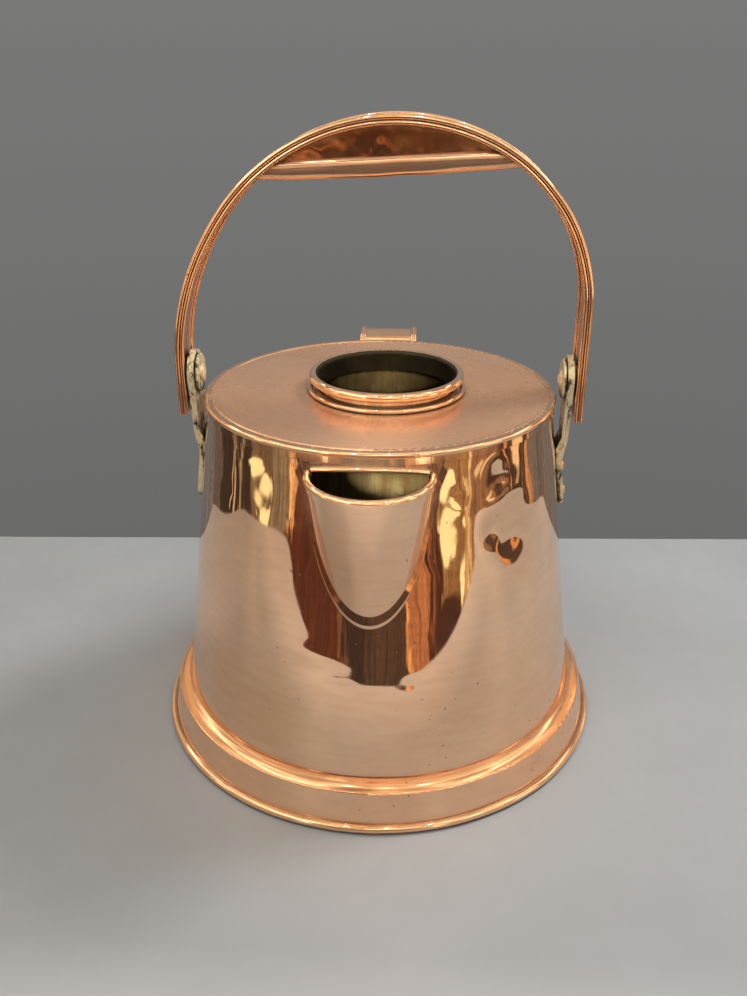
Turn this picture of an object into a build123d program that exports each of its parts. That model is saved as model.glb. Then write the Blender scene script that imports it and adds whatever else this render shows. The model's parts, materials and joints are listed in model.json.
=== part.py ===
from build123d import *
import math
import os

# Copper can with a pouring lip, a fixed back handle and a swinging bail.
# Millimetres. +Z is up, the pouring lip points along -Y, and the origin is
# the centre of the foot on the surface that the can stands on.

BEYOND = 400.0               # larger than the whole can, for blocks that trim
CUT_LENGTH = 20.0            # length of a cut that goes right through a sheet
INTO_WALL = 3.0              # rough shapes start this far inside the wall

# ---------------------------------------------------------------- vessel wall
SHEET = 1.2                  # thickness of the copper sheet
WALL_LOW_R = 109.7           # outer radius of the wall at WALL_LOW_Z
WALL_LOW_Z = 23.0
WALL_HIGH_R = 89.5           # outer radius of the wall at WALL_HIGH_Z
WALL_HIGH_Z = 186.0
WALL_SLOPE = (WALL_LOW_R - WALL_HIGH_R) / (WALL_HIGH_Z - WALL_LOW_Z)
WALL_LEAN = math.degrees(math.atan(WALL_SLOPE))
WALL_BOTTOM = 17.5           # the wall stands a little way into the foot band
WALL_TOP = 185.7             # and stops under the top's rolled rim
SEAM_WIDTH = 9.0             # lapped seam down the back, on the inside
SEAM_RAISE = 0.8

# ----------------------------------------------------------------------- foot
FOOT_BEAD_R = 2.3            # half the height of the rolled bottom bead
FOOT_OUTER_R = 123.5         # outside of that bead
FOOT_WEAR = 0.12             # flat worn under the bead
FOOT_WIRE_R = 1.1
BAND_LOW_R = 120.6           # outside of the band just above the bead
BAND_HIGH_R = 117.0          # outside of the band under the shoulder
BAND_HIGH_Z = 19.8
SHOULDER_BULGE = 0.7         # how far the sloping shoulder swells
SHOULDER_TOP_Z = 24.0
SHOULDER_STEP_IN = 0.9       # rounded step between the band and the shoulder
SHOULDER_STEP_UP = 1.0
BOTTOM_Z = 4.2               # underside of the flat bottom
BOTTOM_FLANGE = 7.0          # height of the bottom's turned-up edge
BOTTOM_CORNER = 1.0          # its turned corner
BOTTOM_GAP = 0.2             # between that edge and the band's inside

# ------------------------------------------------------------------------ top
TOP_Z = 189.0                # upper face of the flat top
RIM_R = 91.0                 # outside of the top's rolled rim
RIM_BEAD_R = 1.5
RIM_WIRE_R = 0.6
RIM_SKIRT = 2.6              # narrow edge that is turned down below the rim
RIM_SKIRT_SHEET = 0.6
RIDGE_R = 86.6               # fine raised line inside the rim
RIDGE_HEIGHT = 0.45

# ----------------------------------------------------------------------- neck
NECK_X = 3.5                 # the neck is soldered on a little off centre
NECK_Y = -1.5
NECK_BORE_R = 35.5
NECK_BEAD_R = 2.35
NECK_WIRE_R = 1.1
NECK_HEIGHT = 10.0           # from the top's upper face to the rolled rim
NECK_FOOT_R = 40.8           # outside of the ring at the neck's foot
NECK_FOOT_HEIGHT = 2.4

# --------------------------------------------------------------- pouring lip
LIP_Z = 177.0                # height of the lip's rolled edge
LIP_RADIUS = 28.6            # radius of the half-round trough at the lip
LIP_CENTRE_Y = -89.0
TROUGH_GROWTH = 0.100        # radius gained for each millimetre of height
TROUGH_LEAN = 0.181          # forward shift for each millimetre of height
TROUGH_LOW_Z = 95.0
TROUGH_HIGH_Z = 200.0
LIP_BEAD_R = 1.75
LIP_WIRE_R = 0.8
LIP_HEM = 2.3                # the rolled edge's tail shows below the bead
LIP_HEM_PROUD = 0.5          # and stands off the trough by this much
FLANGE_WIDTH = 1.8           # soldered flange round the trough
FLANGE_THICKNESS = 0.9
FLANGE_TOP_Z = 183.0
EAR_WIDTH = 3.0              # the flange's ends splay out towards the rim
EAR_LOW = (27.5, 161.0)      # outer edge of an end: where it leaves the trough
EAR_BEND = (31.2, 170.0)     # where it turns outwards
EAR_TOP_X = 36.0             # and where it meets the rim
MOUTH_LOW_Z = 121.0          # the wall is cut away behind the trough
MOUTH_CORNER_Y = -85.0       # the cut's top edge rises towards its middle
MOUTH_CORNER_Z = 178.0
MOUTH_RISE_ANGLE = 28.0
HEM_HEIGHT = 3.0
HEM_THICKNESS = 0.7
HEM_BEAD_R = 1.1
HEM_END_INSET = 2.4          # the hem's ends stop short of the lip's radius
HEM_MIDDLE_RISE = 3.0        # its middle stands this much above its ends

# ----------------------------------------------------------------------- bail
BAIL_HALF_SPAN = 104.6       # outside of the arch at the pivots
BAIL_WIDTH = 23.0
CROWN_R = 106.2              # outside radius of the crown
CROWN_X = 8.0                # the arch is bent a little to one side
CROWN_TOP_Z = 322.8
RIGHT_SHOULDER = 64.9        # where the crown's arc meets each shoulder's arc
LEFT_SHOULDER = 137.6
BAIL_TAIL_Z = 176.0          # lower ends of the arch
OUTER_BEAD_R = 1.3
INNER_BEAD_R = 1.15
PLY = 1.2                    # sheet thickness of each ply between its beads
BAIL_WIRE_R = 0.6

# ----------------------------------------------------------------------- grip
GRIP_LEFT = (-62.0, 297.2)   # the grip's centre line, x and z
GRIP_RIGHT = (70.0, 303.8)
GRIP_HEIGHT = 8.8
GRIP_DEPTH = 19.0
GRIP_ROUND = 3.7             # rounding of the grip's section
GRIP_SHEET = 1.0
GRIP_OVERRUN = 20.0          # the bar is drawn too long and trimmed to the arch
WEB_Y = 7.2                  # middle of each web plate
WEB_SHEET = 1.0

# --------------------------------------------------------- pivots and their lugs
PIVOT_Z = 195.7
PIN_R = 3.0
PIN_RUNNING_GAP = 0.06       # radial, in the lug's eye
PIN_SEAT_GAP = 0.02          # radial, in everything riveted to the bail
LUG_OUTER_X = 98.6
LUG_THICKNESS = 3.2
LUG_EYE_R = 12.0
LUG_SHOULDER_ANGLE = 23.6    # where the eye's circle meets the plate's sides
LUG_NECK_HALF = 6.5
LUG_NECK_Z = 163.0
LUG_TANG_HALF = 8.5
LUG_TANG_TOP_Z = 149.0       # the tang is full width up to here
LUG_TANG_Z = 134.0           # centre of the tang's round end
LUG_TIP = 1.3                # thickness at the tang's bevelled tip
LUG_BEVEL = 5.0              # height of that bevel
LUG_JOGGLE_LOW_Z = 152.5     # the plate steps out from the wall between these
LUG_JOGGLE_HIGH_Z = 164.0
LUG_JOGGLE_INSIDE = 1.25     # the step's inside face lies this much higher
LUG_TANG_STAND = 2.5         # tang's outer face from the wall
WASHER_GAP = 0.3
OUTER_WASHER_R = 8.7
INNER_WASHER_R = 10.0
INNER_WASHER = 1.7
WASHER_ROUND = 0.55
PIN_HEAD_R = 5.4
PIN_HEAD_HEIGHT = 3.2
PEEN_R = 4.8
PEEN_HEIGHT = 2.0

# --------------------------------------------------------------------- rivets
RIVET_R = 2.0
RIVET_HEAD_R = 3.5
RIVET_HEAD_HEIGHT = 2.1
RIVET_TAIL_HEIGHT = 1.5
RIVET_TAIL_GAP = 0.15        # the tail's edge clears the hollow of the wall
RIVET_GAP = 0.03
LUG_RIVET_Z = (147.0, 133.0)

# ---------------------------------------------------------------- back handle
HANDLE_SHEET = 1.6
HANDLE_STRAP_HALF = 15.6     # centre lines of the two wired edges
HANDLE_BEAD_R = 2.2
HANDLE_WIRE_R = 1.1
HANDLE_TANG_HALF = 13.0
HANDLE_UPPER_Z = (150.0, 166.0)
HANDLE_CREST_R = 20.0
HANDLE_SWEEP_R = 90.0
HANDLE_SWEEP_ANGLE = 45.0
HANDLE_TANG_LENGTH = 17.0
HANDLE_BEAD_START = 28.0     # the wired edges begin clear of the wall
HANDLE_BEAD_END = 0.45       # and run down this share of the lower return
HANDLE_RIVET_X = 8.5
HANDLE_RIVET_DROP = 1.0      # rivets lie this far under the middle of a tang
HANDLE_RIVET_TAIL_GAP = 0.9  # these rivets stand square to the flat tang

# ------------------------------------------------------------- derived values
SEAM_X = BAIL_HALF_SPAN - 2 * OUTER_BEAD_R    # joint between the two plies
BAIL_DEPTH = 2 * (OUTER_BEAD_R + INNER_BEAD_R)
CROWN_Z = CROWN_TOP_Z - CROWN_R
FIT = 0.05                   # gap between pieces that are soldered together


def wall_r(z):
    """Outer radius of the vessel's wall at height z."""
    return WALL_LOW_R - (z - WALL_LOW_Z) * WALL_SLOPE


def body_cone(offset, low=0.0, high=210.0):
    """Solid cone whose side is the wall's outer face moved out by offset."""
    grow = offset / math.cos(math.radians(WALL_LEAN))
    height = high - low
    cone = Cone(wall_r(low) + grow, wall_r(high) + grow, height)
    return Pos(0, 0, low + height / 2) * cone


def slab(low, high):
    """Wide flat block between two heights."""
    return Pos(0, 0, (low + high) / 2) * Box(BEYOND, BEYOND, high - low)


def turned(profile):
    """Solid of revolution about Z; the profile is drawn as radius, height."""
    return revolve(Plane.XZ * profile, Axis.Z)


def polygon(*points):
    return make_face(Polyline(*points, close=True))


def disc_at(r, z, radius):
    return Pos(r, z) * Circle(radius)


def ring(r, z, radius):
    """Round wire bent into a ring about Z."""
    return turned(disc_at(r, z, radius))


# ---------------------------------------------------------------------- vessel
def trough_cone(offset):
    """The trough's leaning cone, moved out by offset."""
    low_r = LIP_RADIUS - (LIP_Z - TROUGH_LOW_Z) * TROUGH_GROWTH + offset
    high_r = LIP_RADIUS + (TROUGH_HIGH_Z - LIP_Z) * TROUGH_GROWTH + offset
    low_y = LIP_CENTRE_Y + (LIP_Z - TROUGH_LOW_Z) * TROUGH_LEAN
    lean = math.degrees(math.atan(TROUGH_LEAN))
    length = (TROUGH_HIGH_Z - TROUGH_LOW_Z) / math.cos(math.radians(lean))
    cone = Cone(low_r, high_r, length, align=(Align.CENTER, Align.CENTER, Align.MIN))
    return Pos(0, low_y, TROUGH_LOW_Z) * Rot(lean, 0, 0) * cone


def below_mouth_top(raise_by=0.0):
    """Everything under the sloping plane that the mouth's top edge lies in."""
    block = slab(-BEYOND, 0)
    height = MOUTH_CORNER_Z + raise_by
    return Pos(0, MOUTH_CORNER_Y, height) * Rot(-MOUTH_RISE_ANGLE, 0, 0) * block


def mouth_cut():
    """Opening in the wall behind the trough."""
    return (trough_cone(-SHEET) & below_mouth_top()) - slab(0, MOUTH_LOW_Z)


def lug_rivet_places(side):
    return [rivet_place(90 - 90 * side, 0, z) for z in LUG_RIVET_Z]


def handle_rivet_places():
    xs = (-HANDLE_RIVET_X, HANDLE_RIVET_X)
    return [rivet_place(90, x, z) for z in handle_rivet_heights() for x in xs]


def rivet_cut(place):
    """Hole for the shank of a rivet that stands at this place."""
    return place * Cylinder(RIVET_R + RIVET_GAP, CUT_LENGTH)


def rivet_place(around, across, z):
    """Location on the wall, its local Z pointing straight out of the wall."""
    stand = Pos(wall_r(z), across, z) * Rot(0, 90 - WALL_LEAN, 0)
    return Rot(0, 0, around) * stand


def body_wall():
    wall = body_cone(0, WALL_BOTTOM, WALL_TOP) - body_cone(-SHEET, WALL_BOTTOM, WALL_TOP)
    seam = body_cone(-SHEET / 2, WALL_BOTTOM, WALL_TOP) - body_cone(-SHEET - SEAM_RAISE)
    seam &= Pos(0, BEYOND / 2, 0) * Box(SEAM_WIDTH, BEYOND, BEYOND)
    wall = wall + seam - mouth_cut()
    for place in lug_rivet_places(1) + lug_rivet_places(-1) + handle_rivet_places():
        wall -= rivet_cut(place)
    return wall


def foot_band():
    bead_r = FOOT_OUTER_R - FOOT_BEAD_R
    bead_z = FOOT_BEAD_R - FOOT_WEAR
    inner = wall_r(SHOULDER_TOP_Z - 1.5 * SHEET) + FIT
    low_z = bead_z + FOOT_BEAD_R / 5
    corner = (BAND_HIGH_R, BAND_HIGH_Z)
    half_turn = math.cos(math.radians(45))
    turn = (BAND_HIGH_R - SHOULDER_STEP_IN * (1 - half_turn), BAND_HIGH_Z + SHOULDER_STEP_UP * half_turn)
    crest = (BAND_HIGH_R - SHOULDER_STEP_IN, BAND_HIGH_Z + SHOULDER_STEP_UP)
    swell = ((inner + crest[0]) / 2, (SHOULDER_TOP_Z + crest[1]) / 2 + SHOULDER_BULGE)
    outside = [
        Line((BAND_LOW_R, low_z), corner),
        ThreePointArc(corner, turn, crest),
        ThreePointArc(crest, swell, (inner, SHOULDER_TOP_Z)),
    ]
    inside = Polyline(
        (inner, SHOULDER_TOP_Z),
        (inner, SHOULDER_TOP_Z - SHEET),
        (BAND_HIGH_R - 1.5 * SHEET, BAND_HIGH_Z - SHEET / 4),
        (BAND_LOW_R - SHEET, low_z),
        (BAND_LOW_R, low_z),
    )
    band = make_face(Curve() + outside + inside)
    profile = band + disc_at(bead_r, bead_z, FOOT_BEAD_R) - disc_at(bead_r, bead_z, FOOT_WIRE_R + FIT)
    return turned(profile) & slab(0, 100)


def foot_wire():
    return ring(FOOT_OUTER_R - FOOT_BEAD_R, FOOT_BEAD_R - FOOT_WEAR, FOOT_WIRE_R)


def band_inner_r(z):
    """Radius that clears the inside of the foot band at height z."""
    share = (z - FOOT_BEAD_R) / (BAND_HIGH_Z - FOOT_BEAD_R)
    return BAND_LOW_R - (BAND_LOW_R - BAND_HIGH_R) * share - 1.2 * SHEET - FIT


def bottom_plate():
    """Flat disc with its edge turned up against the inside of the band."""
    flange_z = BOTTOM_Z + BOTTOM_FLANGE
    low = band_inner_r(BOTTOM_Z) - BOTTOM_GAP
    high = band_inner_r(flange_z) - BOTTOM_GAP
    return turned(polygon(
        (0, BOTTOM_Z), (low - BOTTOM_CORNER, BOTTOM_Z), (low, BOTTOM_Z + BOTTOM_CORNER), (high, flange_z),
        (high - SHEET, flange_z), (low - SHEET, BOTTOM_Z + SHEET), (0, BOTTOM_Z + SHEET),
    ))


def top_plate():
    bead_r = RIM_R - RIM_BEAD_R
    bead_z = TOP_Z - RIM_BEAD_R
    skirt_z = WALL_TOP - RIM_SKIRT
    skirt_low = wall_r(skirt_z) + FIT
    skirt_high = wall_r(bead_z) + FIT
    plate = Pos(bead_r / 2, TOP_Z - SHEET / 2) * Rectangle(bead_r, SHEET)
    joint_z = bead_z - RIM_BEAD_R / 2
    skirt = polygon((skirt_low, skirt_z), (skirt_low + RIM_SKIRT_SHEET, skirt_z),
                    (skirt_high + RIM_SKIRT_SHEET, joint_z), (skirt_high, joint_z))
    profile = plate + disc_at(bead_r, bead_z, RIM_BEAD_R) + skirt
    profile += disc_at(RIDGE_R, TOP_Z - RIDGE_HEIGHT, 2 * RIDGE_HEIGHT)
    profile -= disc_at(bead_r, bead_z, RIM_WIRE_R + FIT)
    hole = Pos(NECK_X, NECK_Y, TOP_Z) * Cylinder(NECK_BORE_R + SHEET + FIT, CUT_LENGTH)
    return turned(profile) - hole - body_cone(FIT / 2, 100, WALL_TOP + FIT)


def rim_wire():
    return ring(RIM_R - RIM_BEAD_R, TOP_Z - RIM_BEAD_R, RIM_WIRE_R)


def neck_collar():
    bead_r = NECK_BORE_R + NECK_BEAD_R
    bead_z = TOP_Z + NECK_HEIGHT - NECK_BEAD_R
    outer = NECK_BORE_R + SHEET
    drop = math.sqrt(NECK_BEAD_R ** 2 - (NECK_BEAD_R - SHEET) ** 2)
    foot = TOP_Z - SHEET
    outline = [
        Line((outer, foot), (NECK_BORE_R, foot)),
        Line((NECK_BORE_R, foot), (NECK_BORE_R, bead_z)),
        ThreePointArc((NECK_BORE_R, bead_z), (bead_r + NECK_BEAD_R, bead_z), (outer, bead_z - drop)),
        Line((outer, bead_z - drop), (outer, foot)),
    ]
    foot_r = NECK_FOOT_HEIGHT / 2
    ring_r = NECK_FOOT_R - foot_r
    width = ring_r - outer + SHEET / 2
    low = TOP_Z + FIT
    foot_ring = Pos(ring_r - width / 2, low + foot_r / 2) * Rectangle(width, foot_r)
    foot_bead = disc_at(ring_r, low + foot_r, foot_r)
    profile = make_face(Curve() + outline) + foot_ring + foot_bead
    profile -= disc_at(bead_r, bead_z, NECK_WIRE_R + FIT)
    return Pos(NECK_X, NECK_Y) * turned(profile)


def neck_wire():
    bead_z = TOP_Z + NECK_HEIGHT - NECK_BEAD_R
    return Pos(NECK_X, NECK_Y) * ring(NECK_BORE_R + NECK_BEAD_R, bead_z, NECK_WIRE_R)


# ----------------------------------------------------------------- pouring lip
def lip_ring(radius):
    """Round rod along the lip's edge, stopped by the vessel's wall."""
    rod = Pos(0, LIP_CENTRE_Y) * ring(LIP_RADIUS - LIP_BEAD_R / 3, LIP_Z, radius)
    return rod - body_cone(FIT)


def flange_ear(side):
    """One end of the flange: a strip on the wall that splays out to the rim."""
    inner = (EAR_TOP_X - EAR_WIDTH, FLANGE_TOP_Z)
    strip = polygon(EAR_LOW, EAR_BEND, (EAR_TOP_X, FLANGE_TOP_Z), inner,
                    (EAR_BEND[0] - EAR_WIDTH, EAR_BEND[1]), (EAR_LOW[0] - EAR_WIDTH, EAR_LOW[1]))
    ear = extrude(Plane.XZ * strip, BEYOND) & body_cone(FLANGE_THICKNESS)
    return ear if side > 0 else mirror(ear, Plane.YZ)


def spout_shell():
    trough = trough_cone(0) & slab(0, LIP_Z)
    hem = trough_cone(LIP_HEM_PROUD) & slab(LIP_Z - LIP_BEAD_R - LIP_HEM, LIP_Z)
    flange = trough_cone(FLANGE_WIDTH) & body_cone(FLANGE_THICKNESS) & slab(0, FLANGE_TOP_Z)
    flange = flange + flange_ear(1) + flange_ear(-1)
    shell = trough + hem + flange - body_cone(FIT) - trough_cone(-SHEET)
    return shell + lip_ring(LIP_BEAD_R) - lip_ring(LIP_WIRE_R + FIT)


def spout_wire():
    return lip_ring(LIP_WIRE_R)


def mouth_hem():
    """Folded strip along the top edge of the mouth, with a rolled lower edge."""
    side = trough_cone(-SHEET - FIT)
    below_skirt = slab(0, WALL_TOP - RIM_SKIRT - FIT)
    strip = body_cone(HEM_THICKNESS) & side & below_mouth_top(HEM_HEIGHT) & below_skirt
    strip = strip - body_cone(FIT) - below_mouth_top() - lip_ring(LIP_BEAD_R + FIT)
    half = LIP_RADIUS - HEM_END_INSET
    reach = HEM_BEAD_R + FIT
    corner_y = -math.sqrt((wall_r(MOUTH_CORNER_Z) + reach) ** 2 - half ** 2)
    front_y = -wall_r(MOUTH_CORNER_Z + HEM_MIDDLE_RISE) - reach
    slope = math.tan(math.radians(MOUTH_RISE_ANGLE))
    corner_z = MOUTH_CORNER_Z + (MOUTH_CORNER_Y - corner_y) * slope
    front_z = MOUTH_CORNER_Z + (MOUTH_CORNER_Y - front_y) * slope
    path = ThreePointArc((-half, corner_y, corner_z), (0, front_y, front_z), (half, corner_y, corner_z))
    rod = sweep(Plane(path @ 0, z_dir=path % 0) * Circle(HEM_BEAD_R), path=path)
    return strip + (rod - body_cone(FIT) - lip_ring(LIP_BEAD_R + FIT))


# ------------------------------------------------------------------------ lugs
def lug_bar():
    """The lug's plate seen from its edge, as thick as it is, but too wide."""
    back = LUG_OUTER_X - LUG_THICKNESS
    low_z = LUG_TANG_Z - LUG_TANG_HALF
    bevel_z = low_z + LUG_BEVEL
    top_z = PIVOT_Z + LUG_EYE_R
    edge = polygon(
        (wall_r(low_z) - INTO_WALL, low_z),
        (wall_r(low_z) + LUG_TIP, low_z),
        (wall_r(bevel_z) + LUG_TANG_STAND, bevel_z),
        (wall_r(LUG_JOGGLE_LOW_Z) + LUG_TANG_STAND, LUG_JOGGLE_LOW_Z),
        (LUG_OUTER_X, LUG_JOGGLE_HIGH_Z),
        (LUG_OUTER_X, top_z),
        (back, top_z),
        (back, LUG_JOGGLE_HIGH_Z + LUG_JOGGLE_INSIDE),
        (wall_r(LUG_JOGGLE_LOW_Z) - INTO_WALL, LUG_JOGGLE_LOW_Z + LUG_JOGGLE_INSIDE),
    )
    return extrude(Plane.XZ * edge, 2 * LUG_EYE_R, both=True)


def lug_outline():
    """The lug seen from the side: round tang, waist and round eye."""
    angle = math.radians(LUG_SHOULDER_ANGLE)
    shoulder = LUG_EYE_R * math.cos(angle)
    shoulder_z = PIVOT_Z - LUG_EYE_R * math.sin(angle)
    outline = Pos(0, PIVOT_Z) * Circle(LUG_EYE_R)
    outline += polygon(
        (-shoulder, shoulder_z), (-LUG_NECK_HALF, LUG_NECK_Z),
        (-LUG_TANG_HALF, LUG_TANG_TOP_Z), (-LUG_TANG_HALF, LUG_TANG_Z),
        (LUG_TANG_HALF, LUG_TANG_Z), (LUG_TANG_HALF, LUG_TANG_TOP_Z),
        (LUG_NECK_HALF, LUG_NECK_Z), (shoulder, shoulder_z),
    )
    outline += Pos(0, LUG_TANG_Z) * Circle(LUG_TANG_HALF)
    return outline - Pos(0, PIVOT_Z) * Circle(PIN_R + PIN_RUNNING_GAP)


def lug(side):
    """Brass eye plate: a tang on the wall, a joggle and a round eye."""
    plate = lug_bar() & extrude(Plane.YZ * lug_outline(), BEYOND)
    plate -= body_cone(FIT)
    for place in lug_rivet_places(1):
        plate -= rivet_cut(place)
    return plate if side > 0 else mirror(plate, Plane.YZ)


def dome(radius, height):
    """Shallow round head standing on the local XY plane."""
    ball = (radius ** 2 + height ** 2) / (2 * height)
    half_way = math.atan2(radius, ball - height) / 2
    middle = (ball * math.sin(half_way), height - ball + ball * math.cos(half_way))
    outline = [
        Line((0, 0), (radius, 0)),
        ThreePointArc((radius, 0), middle, (0, height)),
        Line((0, height), (0, 0)),
    ]
    return revolve(Plane.XZ * make_face(Curve() + outline), Axis.Z)


def wall_rivet(place, stand, tail_gap=RIVET_TAIL_GAP):
    """Domed rivet through the wall and what is fixed on it."""
    head = Pos(0, 0, stand + FIT) * dome(RIVET_HEAD_R, RIVET_HEAD_HEIGHT)
    tail_z = -SHEET - tail_gap
    tail = Pos(0, 0, tail_z) * Rot(180, 0, 0) * dome(RIVET_HEAD_R, RIVET_TAIL_HEIGHT)
    low = tail_z - FIT
    high = stand + 2 * FIT
    shank = Pos(0, 0, (low + high) / 2) * Cylinder(RIVET_R, high - low)
    return place * (shank + head + tail)


def lug_rivets(side):
    return Compound([wall_rivet(place, LUG_TANG_STAND) for place in lug_rivet_places(side)])


# ----------------------------------------------------------------- back handle
def wall_point(z, offset):
    """Point in the YZ plane at the back, off the wall's outer face."""
    lean = math.radians(WALL_LEAN)
    return Vector(wall_r(z) + offset * math.cos(lean), z + offset * math.sin(lean))


def polar(centre, radius, degrees):
    angle = math.radians(degrees)
    return Vector(centre.X + radius * math.cos(angle), centre.Y + radius * math.sin(angle))


def handle_centres():
    """Centres and radii of the handle's crest, sweep and lower return."""
    stand = FIT + HANDLE_SHEET / 2
    start = wall_point(HANDLE_UPPER_Z[1], stand)
    crest = polar(start, HANDLE_CREST_R, WALL_LEAN)
    sweep_centre = Vector(crest.X + HANDLE_CREST_R - HANDLE_SWEEP_R, crest.Y)
    knee = polar(sweep_centre, HANDLE_SWEEP_R, -HANDLE_SWEEP_ANGLE)
    lean = math.radians(WALL_LEAN)
    gap = (knee.X - wall_r(knee.Y)) * math.cos(lean) - stand
    turn = HANDLE_SWEEP_ANGLE + WALL_LEAN
    return_r = gap / (1 - math.cos(math.radians(turn)))
    return_centre = polar(knee, return_r, -HANDLE_SWEEP_ANGLE)
    return crest, sweep_centre, return_centre, return_r


def arc_between(centre, radius, start, end):
    """Arc in the YZ plane drawn as Y, Z, from one angle to another."""
    middle = (start + end) / 2
    points = [polar(centre, radius, angle) for angle in (start, middle, end)]
    return ThreePointArc(*[(0, p.X, p.Y) for p in points])


def handle_path(crest_start, return_share):
    """Middle line of the ear: crest, long sweep and return to the wall."""
    crest, sweep_centre, return_centre, return_r = handle_centres()
    knee_angle = 180 - HANDLE_SWEEP_ANGLE
    wall_angle = 180 + WALL_LEAN
    end_angle = knee_angle + (wall_angle - knee_angle) * return_share
    return Wire([
        arc_between(crest, HANDLE_CREST_R, 180 + WALL_LEAN - crest_start, 0),
        arc_between(sweep_centre, HANDLE_SWEEP_R, 0, -HANDLE_SWEEP_ANGLE),
        arc_between(return_centre, return_r, knee_angle, end_angle),
    ])


def handle_foot_z():
    """Height at which the handle comes back to the wall."""
    _, _, return_centre, return_r = handle_centres()
    return polar(return_centre, return_r, 180 + WALL_LEAN).Y


def handle_rivet_heights():
    upper = sum(HANDLE_UPPER_Z) / 2
    lower = handle_foot_z() - HANDLE_TANG_LENGTH / 2
    return upper - HANDLE_RIVET_DROP, lower - HANDLE_RIVET_DROP


def handle_tang(low, high):
    """Plate on the wall: flat outside, hollowed to the wall inside."""
    outer = HANDLE_SHEET + FIT
    corners = [(low, outer), (high, outer), (high, -INTO_WALL), (low, -INTO_WALL)]
    points = [wall_point(z, offset) for z, offset in corners]
    side = Plane.YZ * polygon(*[(p.X, p.Y) for p in points])
    tang = extrude(side, HANDLE_TANG_HALF, both=True) - body_cone(FIT)
    for place in handle_rivet_places():
        tang -= rivet_cut(place)
    return tang


def rod_along(path, radius):
    section = Plane(path @ 0, z_dir=path % 0) * Circle(radius)
    return sweep(section, path=path)


def handle_sheet():
    """Flat strap between the two wired edges."""
    path = handle_path(0, 1)
    section = Plane(path @ 0, x_dir=(1, 0, 0), z_dir=path % 0) * Rectangle(2 * HANDLE_TANG_HALF, HANDLE_SHEET)
    narrow = sweep(section, path=path)
    wide_path = handle_path(HANDLE_BEAD_START, HANDLE_BEAD_END)
    wide = Plane(wide_path @ 0, x_dir=(1, 0, 0), z_dir=wide_path % 0)
    broad = sweep(wide * Rectangle(2 * HANDLE_STRAP_HALF, HANDLE_SHEET), path=wide_path)
    return narrow + broad


def handle_edges(radius):
    path = handle_path(HANDLE_BEAD_START, HANDLE_BEAD_END)
    rods = []
    for side in (-1, 1):
        rods.append(Pos(side * HANDLE_STRAP_HALF, 0, 0) * rod_along(path, radius))
    return rods


def back_handle_strap():
    foot = handle_foot_z()
    strap = handle_sheet()
    strap += handle_tang(*HANDLE_UPPER_Z)
    strap += handle_tang(foot - HANDLE_TANG_LENGTH, foot)
    for edge in handle_edges(HANDLE_BEAD_R):
        strap += edge
    for core in handle_edges(HANDLE_WIRE_R + FIT):
        strap -= core
    return strap


def back_handle_wires():
    return Compound(handle_edges(HANDLE_WIRE_R))


def back_handle_rivets():
    stand = HANDLE_SHEET + 2 * FIT
    places = handle_rivet_places()
    return Compound([wall_rivet(place, stand, HANDLE_RIVET_TAIL_GAP) for place in places])


# ------------------------------------------------------------------------ bail
def arch_line(inset, tail=BAIL_TAIL_Z):
    """The arch in the XZ plane, moved inwards from its outside by inset."""
    def shoulder(angle, side):
        turn = math.radians(angle)
        reach = side * BAIL_HALF_SPAN - CROWN_X
        radius = (reach - CROWN_R * math.cos(turn)) / (side - math.cos(turn))
        centre = Vector(CROWN_X + (CROWN_R - radius) * math.cos(turn),
                        CROWN_Z + (CROWN_R - radius) * math.sin(turn))
        return centre, radius

    def arc(centre, radius, start, end):
        points = [polar(centre, radius, angle) for angle in (start, (start + end) / 2, end)]
        return ThreePointArc(*[(p.X, 0, p.Y) for p in points])

    right, right_r = shoulder(RIGHT_SHOULDER, 1)
    left, left_r = shoulder(LEFT_SHOULDER, -1)
    crown = Vector(CROWN_X, CROWN_Z)
    span = BAIL_HALF_SPAN - inset
    return Wire([
        Line((span, 0, tail), (span, 0, right.Y)),
        arc(right, right_r - inset, 0, RIGHT_SHOULDER),
        arc(crown, CROWN_R - inset, RIGHT_SHOULDER, LEFT_SHOULDER),
        arc(left, left_r - inset, LEFT_SHOULDER, 180),
        Line((-span, 0, left.Y), (-span, 0, tail)),
    ])


def ply(sheet_inset, bead_inset, bead_r, core_r):
    """One ply of the arch: a flat sheet with a round bead along each edge."""
    path = arch_line(bead_inset)
    half = BAIL_WIDTH / 2 - bead_r
    plane = Plane(path @ 0, x_dir=(0, 1, 0), z_dir=path % 0)
    section = Pos(0, sheet_inset - bead_inset) * Rectangle(2 * half, PLY)
    for side in (-1, 1):
        section += Pos(side * half, 0) * Circle(bead_r)
        if core_r:
            section -= Pos(side * half, 0) * Circle(core_r)
    return sweep(plane * section, path=path)


def pivot_holes():
    return Pos(0, 0, PIVOT_Z) * Rot(0, 90, 0) * Cylinder(PIN_R + PIN_SEAT_GAP, BEYOND)


def bail_outer_strap():
    sheet = 2 * OUTER_BEAD_R - PLY / 2
    return ply(sheet, OUTER_BEAD_R, OUTER_BEAD_R, BAIL_WIRE_R + FIT) - pivot_holes()


def bail_inner_strap():
    sheet = 2 * OUTER_BEAD_R + PLY / 2
    bead = 2 * OUTER_BEAD_R + INNER_BEAD_R
    return ply(sheet, bead, INNER_BEAD_R, 0) - pivot_holes()


def bail_wires():
    path = arch_line(OUTER_BEAD_R)
    half = BAIL_WIDTH / 2 - OUTER_BEAD_R
    return Compound([Pos(0, side * half, 0) * rod_along(path, BAIL_WIRE_R) for side in (-1, 1)])


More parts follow.
